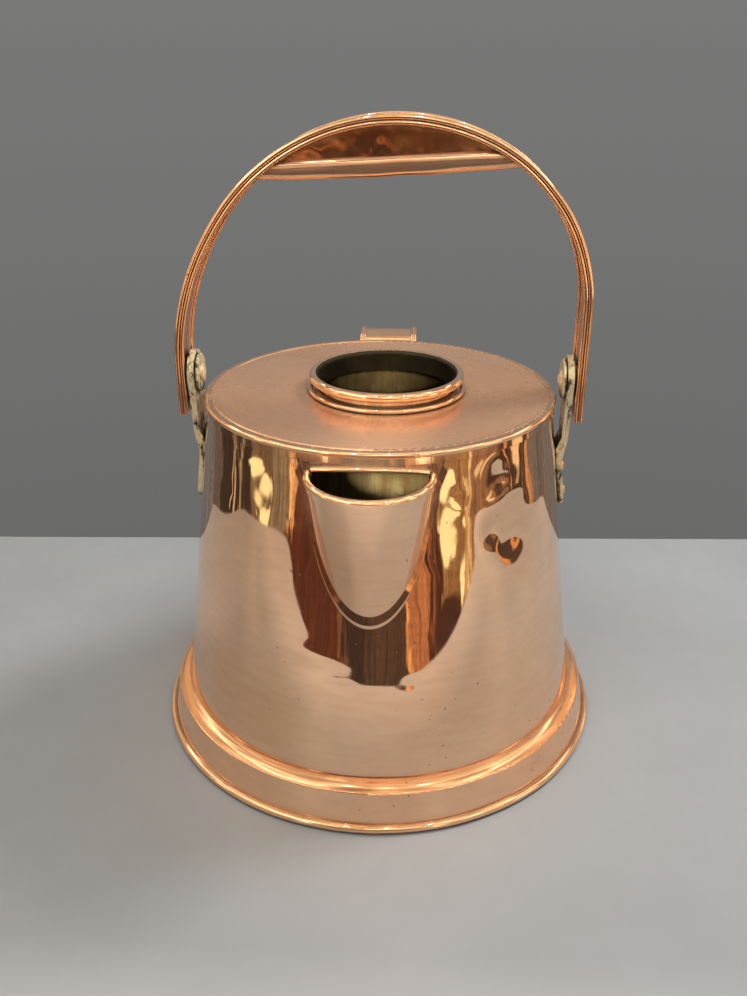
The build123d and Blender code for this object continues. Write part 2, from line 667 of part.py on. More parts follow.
def inside_arch(inset, depth):
    """Everything inside the arch, to trim the grip against it."""
    path = arch_line(inset, PIVOT_Z)
    span = BAIL_HALF_SPAN - inset
    closing = Line((-span, 0, PIVOT_Z), (span, 0, PIVOT_Z))
    return extrude(make_face(Wire(path.edges() + [closing])), depth, dir=(0, 1, 0), both=True)


def grip_bar(inset):
    """The chord grip's rounded bar, drawn in from its outside by inset."""
    left = Vector(GRIP_LEFT[0], 0, GRIP_LEFT[1])
    right = Vector(GRIP_RIGHT[0], 0, GRIP_RIGHT[1])
    along = (right - left).normalized()
    start = left - along * GRIP_OVERRUN
    length = (right - left).length + 2 * GRIP_OVERRUN
    plane = Plane(start, x_dir=(0, 1, 0), z_dir=along)
    section = RectangleRounded(GRIP_DEPTH - 2 * inset, GRIP_HEIGHT - 2 * inset, GRIP_ROUND - inset)
    return extrude(plane * section, length)


def grip_tube():
    return (grip_bar(0) & inside_arch(BAIL_DEPTH + FIT, BAIL_WIDTH)) - grip_bar(GRIP_SHEET)


def grip_web(side):
    """Thin plate that fills the space between the grip and the crown."""
    sheet = Pos(0, side * WEB_Y, 0) * Box(BEYOND, WEB_SHEET, 2 * BEYOND)
    slope = (GRIP_RIGHT[1] - GRIP_LEFT[1]) / (GRIP_RIGHT[0] - GRIP_LEFT[0])
    middle = ((GRIP_LEFT[0] + GRIP_RIGHT[0]) / 2, (GRIP_LEFT[1] + GRIP_RIGHT[1]) / 2)
    above = Pos(middle[0], 0, middle[1]) * Rot(0, -math.degrees(math.atan(slope)), 0)
    above = above * slab(0, BEYOND)
    web = inside_arch(BAIL_DEPTH + FIT, BAIL_WIDTH) & sheet & above
    web -= grip_bar(-FIT)
    return max(web.solids(), key=lambda solid: solid.volume)


def along_x(x, piece, side):
    """Put a piece drawn along local Z on the pivot's axis, out from x."""
    placed = Pos(x, 0, PIVOT_Z) * Rot(0, 90, 0) * piece
    return placed if side > 0 else mirror(placed, Plane.YZ)


def washer(radius, thickness):
    body = Pos(0, 0, thickness / 2) * Cylinder(radius, thickness)
    body = fillet(body.edges().filter_by(GeomType.CIRCLE), WASHER_ROUND)
    return body - Cylinder(PIN_R + PIN_SEAT_GAP, CUT_LENGTH)


def outer_washer(side):
    start = LUG_OUTER_X + WASHER_GAP
    end = SEAM_X - PLY - 2 * FIT
    return along_x(start, washer(OUTER_WASHER_R, end - start), side)


def inner_washer(side):
    start = LUG_OUTER_X - LUG_THICKNESS - WASHER_GAP - INNER_WASHER
    return along_x(start, washer(INNER_WASHER_R, INNER_WASHER), side)


def pivot_rivet(side):
    """Pin through strap, washers and lug, with a head at each end."""
    inner = LUG_OUTER_X - LUG_THICKNESS - WASHER_GAP - INNER_WASHER - FIT
    outer = SEAM_X + PLY + FIT
    shank = Pos(0, 0, (inner + outer) / 2) * Cylinder(PIN_R, outer - inner + 2 * FIT)
    head = Pos(0, 0, outer) * dome(PIN_HEAD_R, PIN_HEAD_HEIGHT)
    peen = Pos(0, 0, inner) * Rot(180, 0, 0) * dome(PEEN_R, PEEN_HEIGHT)
    return along_x(0, shank + head + peen, side)


PARTS = {
    "body_wall": body_wall,
    "bottom_plate": bottom_plate,
    "foot_band": foot_band,
    "foot_wire": foot_wire,
    "top_plate": top_plate,
    "rim_wire": rim_wire,
    "neck_collar": neck_collar,
    "neck_wire": neck_wire,
    "spout_shell": spout_shell,
    "spout_wire": spout_wire,
    "mouth_hem": mouth_hem,
    "back_handle_strap": back_handle_strap,
    "back_handle_wires": back_handle_wires,
    "back_handle_rivets": back_handle_rivets,
    "bail_outer_strap": bail_outer_strap,
    "bail_inner_strap": bail_inner_strap,
    "bail_wires": bail_wires,
    "grip_tube": grip_tube,
}
SIDES = {"left": -1, "right": 1}
SIDED_PARTS = {
    "lug": lug,
    "lug_rivets": lug_rivets,
    "pivot_rivet": pivot_rivet,
    "outer_washer": outer_washer,
    "inner_washer": inner_washer,
}
WEBS = {"grip_web_front": -1, "grip_web_back": 1}


def main():
    os.makedirs("parts", exist_ok=True)
    for name, build in PARTS.items():
        export_step(build(), f"parts/{name}.step")
    for name, build in SIDED_PARTS.items():
        for word, side in SIDES.items():
            export_step(build(side), f"parts/{name}_{word}.step")
    for name, side in WEBS.items():
        export_step(grip_web(side), f"parts/{name}.step")


main()
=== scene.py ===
import json
import math

import bmesh
import bpy
import numpy as np
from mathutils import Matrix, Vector

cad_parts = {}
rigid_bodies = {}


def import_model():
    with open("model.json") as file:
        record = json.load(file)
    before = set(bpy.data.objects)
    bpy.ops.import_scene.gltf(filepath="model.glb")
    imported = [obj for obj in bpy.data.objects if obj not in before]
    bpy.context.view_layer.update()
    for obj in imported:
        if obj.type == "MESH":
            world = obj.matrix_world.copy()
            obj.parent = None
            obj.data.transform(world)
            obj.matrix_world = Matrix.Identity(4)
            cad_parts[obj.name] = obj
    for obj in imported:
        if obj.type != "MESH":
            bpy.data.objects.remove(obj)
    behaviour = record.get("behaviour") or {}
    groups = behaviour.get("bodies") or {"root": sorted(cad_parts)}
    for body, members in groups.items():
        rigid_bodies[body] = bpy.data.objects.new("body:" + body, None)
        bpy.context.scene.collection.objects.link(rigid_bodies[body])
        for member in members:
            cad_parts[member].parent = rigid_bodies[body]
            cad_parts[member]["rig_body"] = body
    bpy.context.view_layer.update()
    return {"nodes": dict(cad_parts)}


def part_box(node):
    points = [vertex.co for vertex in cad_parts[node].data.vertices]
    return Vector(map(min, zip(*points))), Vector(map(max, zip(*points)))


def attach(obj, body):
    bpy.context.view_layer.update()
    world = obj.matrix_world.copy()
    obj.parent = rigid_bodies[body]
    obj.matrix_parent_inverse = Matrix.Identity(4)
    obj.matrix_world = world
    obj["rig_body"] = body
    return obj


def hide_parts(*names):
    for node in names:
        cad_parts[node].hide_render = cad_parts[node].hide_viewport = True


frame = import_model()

# Looks of a polished copper can: dented sheet, wired edges, brass lugs and a dark
# tinned inside. Lengths are metres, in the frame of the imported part.

MM = 0.001
NODES = frame["nodes"]
WALL_R = 0.1               # mean radius of the wall, turns angles into lengths


# ------------------------------------------------------------------ node trees
class Tree:
    """Short way to write a node tree: every call returns an output socket."""

    def __init__(self, tree):
        self.tree = tree
        tree.nodes.clear()

    def node(self, kind, inputs=(), output=0, **settings):
        made = self.tree.nodes.new(kind)
        for key, value in settings.items():
            setattr(made, key, value)
        for key, value in dict(inputs).items():
            socket = made.inputs[key]
            if isinstance(value, bpy.types.NodeSocket):
                self.tree.links.new(value, socket)
            elif value is not None:
                socket.default_value = value
        return None if output is None else made.outputs[output]

    def math(self, operation, a, b=0.0):
        return self.node("ShaderNodeMath", {0: a, 1: b}, operation=operation)

    def square_sum(self, a, b):
        return self.math("ADD", self.math("MULTIPLY", a, a), self.math("MULTIPLY", b, b))

    def place(self):
        return self.node("ShaderNodeTexCoord", output="Object")

    def stretched(self, vector, scale):
        return self.node("ShaderNodeMapping", {"Vector": vector, "Scale": scale})

    def noise(self, vector, scale, detail=3.0, rough=0.5, distortion=0.0):
        return self.node("ShaderNodeTexNoise", {
            "Vector": vector, "Scale": scale, "Detail": detail,
            "Roughness": rough, "Distortion": distortion})

    def span(self, value, low, high, to_low=0.0, to_high=1.0):
        return self.node("ShaderNodeMapRange", {
            "Value": value, "From Min": low, "From Max": high,
            "To Min": to_low, "To Max": to_high}, clamp=True)

    def blend(self, share, a, b, mode="MIX"):
        made = self.tree.nodes.new("ShaderNodeMix")
        made.data_type = "RGBA"
        made.blend_type = mode
        for key, value in ((0, share), (6, a), (7, b)):
            if isinstance(value, bpy.types.NodeSocket):
                self.tree.links.new(value, made.inputs[key])
            else:
                made.inputs[key].default_value = value if key == 0 else (*value, 1.0)
        return made.outputs[2]

    def ramp(self, value, stops, interpolation="LINEAR"):
        made = self.tree.nodes.new("ShaderNodeValToRGB")
        self.tree.links.new(value, made.inputs[0])
        band = made.color_ramp
        band.interpolation = interpolation
        while len(band.elements) < len(stops):
            band.elements.new(0.5)
        for element, (position, colour) in zip(band.elements, stops):
            element.position = position
            element.color = (*colour, 1.0)
        return made.outputs[0]

    def axes(self, vector):
        """The x, y and z sockets of a vector."""
        parts = self.tree.nodes.new("ShaderNodeSeparateXYZ")
        self.tree.links.new(vector, parts.inputs[0])
        return parts.outputs

    def around(self):
        """Vector of arc length about Z, height and radius."""
        x, y, z = self.axes(self.place())
        angle = self.math("ARCTAN2", y, x)
        radius = self.math("SQRT", self.square_sum(x, y))
        arc = self.math("MULTIPLY", angle, WALL_R)
        return self.node("ShaderNodeCombineXYZ", {0: arc, 1: z, 2: radius})

    def grey(self, value):
        return self.node("ShaderNodeCombineXYZ", {0: value, 1: value, 2: value})

    def crevice(self, reach):
        """1 in the open, falling towards 0 in seams and corners."""
        return self.node("ShaderNodeAmbientOcclusion", {"Distance": reach}, output="AO", samples=6)

    def bump(self, height, distance, before=None):
        return self.node("ShaderNodeBump", {
            "Height": height, "Distance": distance, "Strength": 1.0, "Normal": before})


def new_material(name):
    made = bpy.data.materials.new(name)
    made.use_nodes = True
    return made, Tree(made.node_tree)


def close(tree, **inputs):
    """End the tree in a principled shader with these inputs."""
    named = {key.replace("_", " "): value for key, value in inputs.items()}
    shader = tree.node("ShaderNodeBsdfPrincipled", named)
    tree.node("ShaderNodeOutputMaterial", {0: shader}, output=None)


# ------------------------------------------------------------------- materials
CLEAN = (0.965, 0.655, 0.455)
WARM = (0.900, 0.470, 0.250)
BROWN = (0.300, 0.120, 0.060)
DARK = (0.060, 0.030, 0.018)


def copper(name, tone, rough, metal=0.86, streak=(1, 1, 1), tarnish_and_shade_reach=5 * MM):
    """Polished copper: smudges, faint scratches, specks, and seams darkened by tarnish and by painted
    shade.
    """
    made, t = new_material(name)
    place = t.place()
    around = t.around()
    cloud = t.noise(place, 14.0, 4.0, 0.55)
    smudge = t.noise(place, 55.0, 5.0, 0.6, 0.6)
    tone_mix = t.span(cloud, 0.35, 0.72, tone, min(1.0, tone + 0.35))
    colour = t.blend(tone_mix, CLEAN, WARM)
    brush = t.noise(t.stretched(around, streak), 60.0, 4.0, 0.65)
    colour = t.blend(t.span(brush, 0.42, 0.75, 0.0, 0.14), colour, BROWN)
    specks = t.noise(place, 420.0, 1.0, 0.5)
    speck = t.span(t.math("MULTIPLY", specks, t.span(cloud, 0.4, 0.7, 0.92, 1.06)), 0.745, 0.79)
    # Painted shade with some tarnish: ambient occlusion finds seams, creases and gaps between parts,
    # which turn towards DARK, rougher and less metallic.
    open_air = t.crevice(tarnish_and_shade_reach)
    seam_tarnish_and_shade = t.math("MULTIPLY", t.span(open_air, 0.30, 0.86, 1.0, 0.0),
                  t.span(smudge, 0.30, 0.62, 0.55, 1.0))
    colour = t.blend(t.math("MULTIPLY", speck, 0.75), colour, BROWN)
    colour = t.blend(seam_tarnish_and_shade, colour, DARK)
    gloss = t.span(smudge, 0.35, 0.70, *rough)
    gloss = t.math("ADD", gloss, t.math("MULTIPLY", seam_tarnish_and_shade, 0.35))
    gloss = t.math("ADD", gloss, t.math("MULTIPLY", speck, 0.3))
    fine = t.noise(place, 130.0, 2.0, 0.5)
    lines = t.noise(t.stretched(around, (6 * streak[0], 40 * streak[1], 40 * streak[2])), 55.0, 2.0, 0.7)
    normal = t.bump(fine, 0.006 * MM)
    normal = t.bump(lines, 0.0005 * MM, normal)
    metallic = t.span(seam_tarnish_and_shade, 0.0, 1.0, metal, 0.45)
    close(t, Base_Color=colour, Roughness=gloss, Metallic=metallic, Normal=normal)
    return made


def tinned(name, light=1.0):
    """The inside: old tin over copper, gone dark and greenish brown. A light below 1 darkens the colour,
    as painted shade.
    """
    made, t = new_material(name)
    place = t.place()
    around = t.around()
    cloud = t.noise(place, 22.0, 5.0, 0.6, 0.8)
    runs = t.noise(t.stretched(around, (70, 6, 6)), 3.0, 4.0, 0.6)
    colour = t.ramp(cloud, [
        (0.30, (0.13, 0.095, 0.045)), (0.50, (0.26, 0.21, 0.10)), (0.70, (0.44, 0.38, 0.20))])
    colour = t.blend(t.span(runs, 0.42, 0.66, 0.0, 0.7), colour, (0.16, 0.095, 0.04))
    colour = t.blend(1.0, colour, (light, light, light), "MULTIPLY")
    grain = t.noise(place, 300.0, 4.0, 0.6)
    close(t, Base_Color=colour, Metallic=0.30,
          Roughness=t.span(cloud, 0.3, 0.7, 0.34, 0.55), Normal=t.bump(grain, 0.03 * MM))
    return made


def verdigris_brass(name):
    """Cast brass, cream where handled, pale green and dark patina in the hollows, with painted shade that
    turns the deepest hollows near black.
    """
    made, t = new_material(name)
    place = t.place()
    blotch = t.noise(t.stretched(place, (1.0, 1.0, 0.4)), 330.0, 5.0, 0.66, 0.9)
    patch = t.noise(place, 75.0, 3.0, 0.5)
    open_air = t.crevice(5 * MM)
    metal = t.blend(t.span(blotch, 0.35, 0.60), (0.66, 0.55, 0.32), (1.0, 0.92, 0.64))
    crust = t.blend(t.span(blotch, 0.42, 0.62), (0.022, 0.028, 0.012), (0.22, 0.25, 0.13))
    worn = t.math("ADD", t.span(open_air, 0.40, 0.98, 0.0, 1.05), t.span(patch, 0.40, 0.62, -0.30, 0.25))
    share = t.span(t.math("ADD", worn, t.span(blotch, 0.38, 0.62, -0.50, 0.50)), 0.38, 0.58)
    colour = t.blend(share, crust, metal)
    # Painted shade: the deepest hollows, found by ambient occlusion, go near black.
    colour = t.blend(t.span(open_air, 0.20, 0.60, 0.92, 0.0), colour, (0.014, 0.015, 0.008))
    height = t.math("ADD", t.math("MULTIPLY", blotch, 0.8), t.noise(place, 900.0, 2.0, 0.5))
    close(t, Base_Color=colour, Metallic=t.span(share, 0, 1, 0.05, 0.22),
          Roughness=t.span(share, 0, 1, 0.60, 0.30), Normal=t.bump(height, 0.10 * MM))
    return made


def iron(name):
    made, t = new_material(name)
    place = t.place()
    rust = t.noise(place, 260.0, 4.0, 0.6)
    colour = t.blend(t.span(rust, 0.4, 0.65), (0.10, 0.095, 0.09), (0.20, 0.09, 0.045))
    close(t, Base_Color=colour, Metallic=t.span(rust, 0.4, 0.65, 0.8, 0.2),
          Roughness=t.span(rust, 0.3, 0.7, 0.4, 0.8), Normal=t.bump(rust, 0.05 * MM))
    return made


# ------------------------------------------------------------- dents and waves
def smooth(value, low, high):
    """0 below low, 1 above high, and a smooth step between."""
    share = np.clip((value - low) / (high - low), 0, 1)
    return share * share * (3 - 2 * share)


NAMED_DENTS = (             # degrees from the lip, height, width, tallness and depth in mm
    (40, 169, 6.0, 6.5, -0.70),
    (44, 173, 3.0, 3.0, 0.14),
    (36, 163, 3.0, 4.0, -0.16),
    (46, 161, 4.0, 3.0, 0.18),
    (44, 140, 9.5, 11.0, -1.70),
    (52, 148, 7.0, 5.0, 0.30),
    (36.5, 145, 4.4, 5.0, -0.70),
    (-49, 157, 2.8, 3.0, -0.12),
    (-44, 176, 6.0, 9.0, 0.25),
    (-33, 163, 5.0, 6.0, -0.20),
    (24, 150, 5.0, 12.0, -0.22),
    (27, 158, 4.0, 4.0, 0.20),
    (26, 166, 3.0, 2.6, -0.13),
    (-17, 88, 8.0, 3.5, 0.18),
    (-10, 80, 9.0, 3.0, -0.12),
    (-6, 73, 3.0, 2.4, -0.10),
    (2, 76, 5.0, 3.0, 0.08),
    (11, 75, 4.0, 3.0, -0.09),
)
RANDOM_DENTS = 150
DENT_SLOPE = 0.0085         # usual depth of a random dent, as a share of its width
DENTED = (24 * MM, 186 * MM)            # heights that the random dents lie between
# Ranges over which a field comes in or goes out, so that sheets keep their joints.
WALL_IN, WALL_OUT = (22 * MM, 34 * MM), (176 * MM, 187 * MM)      # heights
TOP_IN, TOP_OUT = (42 * MM, 50 * MM), (80 * MM, 88 * MM)          # radii, neck to rim
RIM_IN = (84 * MM, 89 * MM)                                       # radii
FOOT_IN = (6 * MM, 20 * MM)                                       # heights
BAIL_OUT = (290 * MM, 312 * MM)                                   # heights
PIVOT_OUT = (14 * MM, 40 * MM)                                    # away from the pivot
BACK_OUT = (104 * MM, 118 * MM)                                   # radii


def wall_dents():
    """Shallow dents of the wall: angle from the lip, height, widths, depth."""
    rng = np.random.default_rng(21)
    rows = []
    for _ in range(RANDOM_DENTS):
        wide = rng.uniform(5, 17) * MM
        rows.append((rng.uniform(-math.pi, math.pi), rng.uniform(*DENTED), wide,
                     wide * rng.uniform(0.7, 1.8), rng.normal(0, DENT_SLOPE) * wide))
    for degrees, height, wide, tall, depth in NAMED_DENTS:
        rows.append((math.radians(degrees), height * MM, wide * MM, tall * MM, depth * MM))
    return rows


WALL_DENTS = wall_dents()


def wall_field(p):
    """Radial displacement of the vessel's sheet."""
    angle = np.arctan2(p[:, 0], -p[:, 1])
    z = p[:, 2]
    out = 0.20 * MM * np.cos(2 * angle + 0.7) + 0.10 * MM * np.cos(3 * angle + 2.0 + z * 14)
    out += 0.05 * MM * np.cos(7 * angle + 1.0 - z * 30)
    for at, height, wide, tall, depth in WALL_DENTS:
        turn = (angle - at + math.pi) % (2 * math.pi) - math.pi
        out += depth * np.exp(-(turn * WALL_R / wide) ** 2 / 2 - ((z - height) / tall) ** 2 / 2)
    fade = smooth(z, *WALL_IN) * (1 - smooth(z, *WALL_OUT))
    radius = np.maximum(np.hypot(p[:, 0], p[:, 1]), 1e-6)
    push = out * fade / radius
    return np.stack([p[:, 0] * push, p[:, 1] * push, 0 * z], 1)


def waves(p, scale, seed, count=14):
    """Smooth random field from a few plane waves, about -1 to 1."""
    rng = np.random.default_rng(seed)
    total = np.zeros(len(p))
    for _ in range(count):
        way = rng.normal(size=3)
        way *= rng.uniform(0.5, 1.4) * 2 * math.pi / (scale * np.linalg.norm(way))
        total += np.cos(p @ way + rng.uniform(0, 2 * math.pi))
    return total / math.sqrt(count)


def foot_field(p):
    """The foot band, drawn in a little so that its waves stay inside the CAD."""
    radius = np.maximum(np.hypot(p[:, 0], p[:, 1]), 1e-6)
    angle = np.arctan2(p[:, 0], -p[:, 1])
    out = 0.14 * MM * np.cos(3 * angle + 0.4) + 0.07 * MM * waves(p, 45 * MM, 3)
    out += 0.03 * MM * waves(p, 16 * MM, 5)
    push = (out - 0.25 * MM) / radius
    lift = 0.12 * MM * waves(p, 60 * MM, 4) * smooth(p[:, 2], *FOOT_IN)
    return np.stack([p[:, 0] * push, p[:, 1] * push, lift], 1)


def top_field(p):
    radius = np.hypot(p[:, 0], p[:, 1])
    fade = (1 - smooth(radius, *TOP_OUT)) * smooth(radius, *TOP_IN)
    lift = (0.30 * MM * waves(p, 90 * MM, 8) + 0.05 * MM * waves(p, 28 * MM, 9)) * fade
    edge = smooth(radius, *RIM_IN) * 0.05 * MM * waves(p, 30 * MM, 10)
    push = edge / np.maximum(radius, 1e-6)
    return np.stack([p[:, 0] * push, p[:, 1] * push, lift], 1)


NECK_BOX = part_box("neck_collar")
NECK = (NECK_BOX[0] + NECK_BOX[1]) / 2


def neck_field(p):
    side = p - np.array([NECK.x, NECK.y, 0])
    radius = np.maximum(np.hypot(side[:, 0], side[:, 1]), 1e-6)
    push = (0.12 * MM * waves(p, 40 * MM, 11) + 0.04 * MM * waves(p, 14 * MM, 12)) / radius
    return np.stack([side[:, 0] * push, side[:, 1] * push, 0.05 * MM * waves(p, 35 * MM, 13)], 1)


def bail_field(p):
    lift = 0.10 * MM * waves(p, 40 * MM, 16) * (1 - smooth(p[:, 2], *BAIL_OUT))
    return np.stack([0.10 * MM * waves(p, 40 * MM, 14), 0.14 * MM * waves(p, 55 * MM, 15),
                     lift], 1) * (1 - pivot_share(p))[:, None]


def pivot_share(p):
    """1 near the pivots, where the pieces have to stay on their pin."""
    low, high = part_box("pivot_rivet_right")
    centre = (low.z + high.z) / 2
    return 1 - smooth(np.abs(p[:, 2] - centre), *PIVOT_OUT)


def web_field(p):
    bail = bail_field(p)
    bail[:, 1] += 0.16 * MM * waves(p, 26 * MM, 17) + 0.05 * MM * waves(p, 9 * MM, 18)
    return bail


GRIP_HALF = 4.4 * MM       # half the grip's height
GRIP_BELLY = 1.5 * MM


def grip_field(p):
    """The bail's field, finer waves, and a slight belly along the underside."""
    bail = bail_field(p)
    bail[:, 1] += 0.10 * MM * waves(p, 30 * MM, 19)
    bail[:, 2] += 0.10 * MM * waves(p, 24 * MM, 20)
    low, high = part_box("grip_tube")
    along = (p[:, 0] - low.x) / (high.x - low.x)
    axis = low.z + GRIP_HALF + along * (high.z - low.z - 2 * GRIP_HALF)
    belly = 1 - (2 * along - 1) ** 2
    bail[:, 2] -= GRIP_BELLY * belly * smooth(axis - p[:, 2], 0, GRIP_HALF)
    return bail


def back_field(p):
    """The wall's field at the handle's feet, fading out along its loop."""
    fade = 1 - smooth(np.hypot(p[:, 0], p[:, 1]), *BACK_OUT)
    return wall_field(p) * fade[:, None]


def spout_field(p):
    out = wall_field(p)
    out[:, 1] += 0.05 * MM * waves(p, 22 * MM, 22)
    out[:, 0] += 0.03 * MM * waves(p, 22 * MM, 23)
    return out


def still_field(p):
    return 0 * p


# ---------------------------------------------------------------- wavy copies
def cut_mesh(mesh, planes):
    """Split the mesh along planes, so that it can bend; shape unchanged."""
    corner = np.zeros(len(mesh.loops) * 3, np.float32)
    mesh.corner_normals.foreach_get("vector", corner)
    stored = mesh.attributes.new("n0", "FLOAT_VECTOR", "CORNER")
    stored.data.foreach_set("vector", corner)
    bm = bmesh.new()
    bm.from_mesh(mesh)
    bmesh.ops.remove_doubles(bm, verts=bm.verts, dist=2e-6)
    for point, way in planes:
        geometry = bm.verts[:] + bm.edges[:] + bm.faces[:]
        bmesh.ops.bisect_plane(bm, geom=geometry, dist=1e-7, plane_co=point, plane_no=way)
    bm.to_mesh(mesh)
    bm.free()


def radial_planes(count, centre=(0, 0, 0)):
    angles = [math.pi * i / count for i in range(count)]
    return [(centre, (math.cos(a), math.sin(a), 0)) for a in angles]


def level_planes(low, high, step):
    count = int((high - low) / step)
    return [((0, 0, low + (i + 0.5) * step), (0, 0, 1)) for i in range(count)]


def upright_planes(low, high, step):
    count = int((high - low) / step)
    return [((low + (i + 0.5) * step, 0, 0), (1, 0, 0)) for i in range(count)]


def bend(mesh, field):
    """Move the mesh by a displacement field, and turn its normals to match."""
    points = np.zeros(len(mesh.vertices) * 3, np.float32)
    mesh.vertices.foreach_get("co", points)
    points = points.reshape(-1, 3).astype(float)
    normals = np.zeros(len(mesh.loops) * 3, np.float32)
    mesh.attributes["n0"].data.foreach_get("vector", normals)
    normals = normals.reshape(-1, 3).astype(float)
    ids = np.zeros(len(mesh.loops), np.int32)
    mesh.loops.foreach_get("vertex_index", ids)
    step = 0.15 * MM
    turned = normals.copy()
    for axis in range(3):
        shift = np.zeros(3)
        shift[axis] = step
        slope = (field(points + shift) - field(points - shift)) / (2 * step)
        turned[:, axis] -= (slope[ids] * normals).sum(1)
    length = np.linalg.norm(turned, axis=1)
    bad = length < 1e-6
    turned[bad] = (0, 0, 1)
    length[bad] = 1
    moved = points + field(points)
    mesh.vertices.foreach_set("co", moved.astype(np.float32).ravel())
    return normals, turned / length[:, None]


def all_outside(points, normals):
    return np.zeros(len(points), bool)


def wavy(name, node, field, planes, looks, parts=all_outside):
    """A bent copy of a CAD node. parts picks each face's look, 0 being the first."""
    source = NODES[node]
    mesh = source.data.copy()
    mesh.name = name
    cut_mesh(mesh, planes)
    flat, turned = bend(mesh, field)
    for attribute in ("custom_normal", "n0"):
        found = mesh.attributes.get(attribute)
        if found:
            mesh.attributes.remove(found)
    mesh.materials.clear()
    for look in looks:
        mesh.materials.append(look)
    starts = np.zeros(len(mesh.polygons), np.int32)
    mesh.polygons.foreach_get("loop_start", starts)
    centres = np.zeros(len(mesh.polygons) * 3, np.float32)
    mesh.polygons.foreach_get("center", centres)
    picked = parts(centres.reshape(-1, 3).astype(float), flat[starts])
    mesh.polygons.foreach_set("material_index", picked.astype(np.int32))
    mesh.polygons.foreach_set("use_smooth", np.ones(len(mesh.polygons), bool))
    mesh.update()
    mesh.normals_split_custom_set(turned.tolist())
    made = bpy.data.objects.new(name, mesh)
    bpy.context.scene.collection.objects.link(made)
    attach(made, source["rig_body"])
    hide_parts(node)


def radial_dot(points, normals, centre=(0, 0)):
    side = points[:, :2] - np.array(centre)
    side /= np.maximum(np.linalg.norm(side, axis=1), 1e-9)[:, None]
    return (side * normals[:, :2]).sum(1)


def inside_wall(points, normals):
    return radial_dot(points, normals) < -0.2


def top_parts(points, normals):
    """0 on the flat, 1 underneath, 2 on the rolled rim."""
    rim = np.hypot(points[:, 0], points[:, 1]) > 88 * MM
    return np.where(rim, 2, normals[:, 2] < -0.5)


def inside_neck(points, normals):
    return radial_dot(points, normals, (NECK.x, NECK.y)) < -0.5


def inside_spout(points, normals):
    return (normals[:, 1] > 0.2) & (points[:, 2] < 175.5 * MM)


def inside_bottom(points, normals):
    return normals[:, 2] > 0.5


FOOT_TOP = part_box("foot_band")[1].z
SHOULDER_TALL = 4.3 * MM
WALL_SLOPE = 0.124         # how far the wall leans in for each unit of height
WALL_FOOT = 17.5 * MM      # height at which the wall's box is measured
WALL_SHEET = 1.0 * MM


def foot_shoulder(points, normals):
    """The sloping shoulder over the foot band, which is less polished."""
    high = points[:, 2] > FOOT_TOP - SHOULDER_TALL
    return high & (normals[:, 2] > 0.25)


def inside_back(points, normals):
    """Rivet tails inside the vessel."""
    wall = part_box("body_wall")[1].y - WALL_SLOPE * (points[:, 2] - WALL_FOOT)
    return points[:, 1] < wall - WALL_SHEET


BODY = copper("body_copper", tone=0.0, rough=(0.015, 0.07), metal=0.94, streak=(1, 5, 1))
TOP = copper("top_copper", tone=0.55, rough=(0.20, 0.30), metal=0.64, streak=(1, 1, 8), tarnish_and_shade_reach=3 * MM)
RIM = copper("rim_copper", tone=0.10, rough=(0.03, 0.09), metal=0.90, tarnish_and_shade_reach=2 * MM)
FOOT = copper("foot_copper", tone=0.15, rough=(0.03, 0.10), streak=(1, 4, 1), tarnish_and_shade_reach=4 * MM)
SHOULDER = copper("shoulder_copper", tone=0.70, rough=(0.13, 0.22), metal=0.70, streak=(1, 4, 1),
                  tarnish_and_shade_reach=2 * MM)
NECK_COPPER = copper("neck_copper", tone=0.02, rough=(0.03, 0.10), streak=(1, 3, 1), tarnish_and_shade_reach=3 * MM)
STRAP = copper("strap_copper", tone=0.10, rough=(0.03, 0.12), streak=(2, 2, 2), tarnish_and_shade_reach=3 * MM)
WEB = copper("web_copper", tone=0.65, rough=(0.05, 0.16), metal=0.93, streak=(2, 2, 2), tarnish_and_shade_reach=4 * MM)
GRIP = copper("grip_copper", tone=0.12, rough=(0.07, 0.17), metal=0.62, streak=(3, 1, 3),
              tarnish_and_shade_reach=3 * MM)
RIVET = copper("rivet_copper_worn", tone=0.45, rough=(0.14, 0.26), streak=(2, 2, 2), tarnish_and_shade_reach=3 * MM)
TIN = tinned("old_tin")
# Tin at 0.09 of its colour: painted shade for the inside of the neck.
TIN_PAINTED_SHADE = tinned("tin_painted_shade", 0.09)
BRASS = verdigris_brass("verdigris_brass")
IRON = iron("old_iron")

STEP = 2.6 * MM            # width of the strips that bend
AROUND = radial_planes(150)
LENGTHWAYS = upright_planes(-60 * MM, 72 * MM, STEP)

wavy("sheet_wall", "body_wall", wall_field,
     AROUND + level_planes(17 * MM, 186 * MM, STEP), (BODY, TIN), inside_wall)
wavy("sheet_foot", "foot_band", foot_field,
     AROUND + level_planes(5 * MM, 19 * MM, 3.5 * MM), (FOOT, SHOULDER), foot_shoulder)
wavy("sheet_top", "top_plate", top_field,
     radial_planes(36) + upright_planes(-88 * MM, 88 * MM, 2 * STEP), (TOP, TIN, RIM), top_parts)
wavy("sheet_neck", "neck_collar", neck_field,
     radial_planes(40, (NECK.x, NECK.y, 0)), (NECK_COPPER, TIN_PAINTED_SHADE), inside_neck)
wavy("sheet_lip", "spout_shell", spout_field,
     level_planes(100 * MM, 176 * MM, STEP) + upright_planes(-34 * MM, 34 * MM, STEP),
     (BODY, TIN), inside_spout)
wavy("sheet_hem", "mouth_hem", wall_field, [], (BODY,))
wavy("sheet_bottom", "bottom_plate", still_field, [], (FOOT, TIN), inside_bottom)
wavy("strap_outer", "bail_outer_strap", bail_field, [], (STRAP,))
wavy("strap_inner", "bail_inner_strap", bail_field, [], (STRAP,))
wavy("grip_bar", "grip_tube", grip_field, LENGTHWAYS, (GRIP,))
